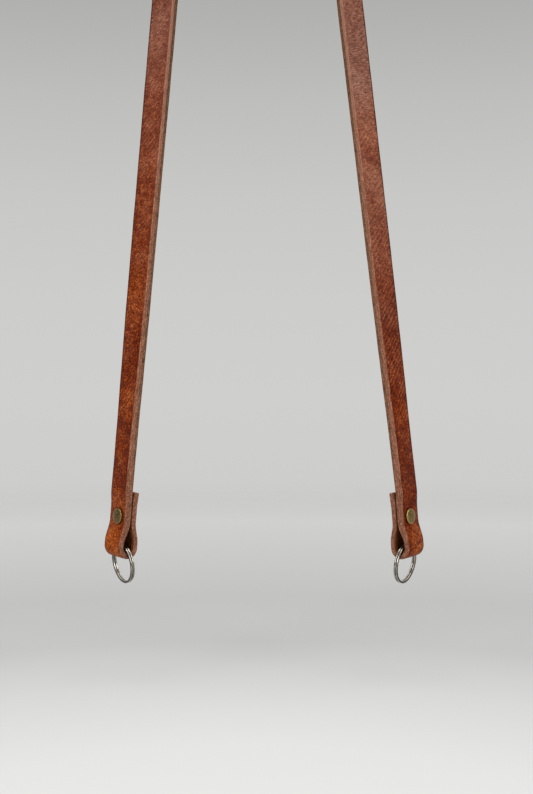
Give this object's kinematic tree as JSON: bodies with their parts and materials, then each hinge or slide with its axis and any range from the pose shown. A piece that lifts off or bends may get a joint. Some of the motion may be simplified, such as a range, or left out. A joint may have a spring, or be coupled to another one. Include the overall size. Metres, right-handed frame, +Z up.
{
  "type": "camera neck strap",
  "caption": "Narrow brown leather neck strap hung as a loop, each end folded back and riveted into an eye that carries a split ring.",
  "frame": {"origin": "the underside of the strap's top bend, where it lies on the neck, midway along the bend and across its width", "axes": "+Z up, +X to the viewer's right along the spread of the two ends, -Y to the front as pictured"},
  "size_m": [0.168, 0.02, 0.5344],
  "materials": {
    "leather": "waxed vegetable-tanned brown leather with mottled grain and raw cut edges",
    "rivet_brass": "antique brass, dulled, with a worn rim",
    "ring_nickel": "nickel plated spring steel, polished"
  },
  "bodies": {
    "strap_body": {"leather_strap": "leather", "left_rivet_cap": "rivet_brass", "left_rivet_base": "rivet_brass", "right_rivet_cap": "rivet_brass", "right_rivet_base": "rivet_brass"},
    "left_ring": {"left_split_ring": "ring_nickel"},
    "right_ring": {"right_split_ring": "ring_nickel"}
  },
  "joints": [
    {"name": "left_ring_swing", "type": "hinge", "parent": "strap_body", "child": "left_ring", "pos_m": [-0.06841, 0.00161, -0.5102], "axis": [0.6273, -0.7771, -0.0505], "range_deg": [-112, 88]},
    {"name": "right_ring_swing", "type": "hinge", "parent": "strap_body", "child": "right_ring", "pos_m": [0.08125, 0.00161, -0.5103], "axis": [0.6273, 0.7771, 0.0505], "range_deg": [-112, 88]}
  ]
}
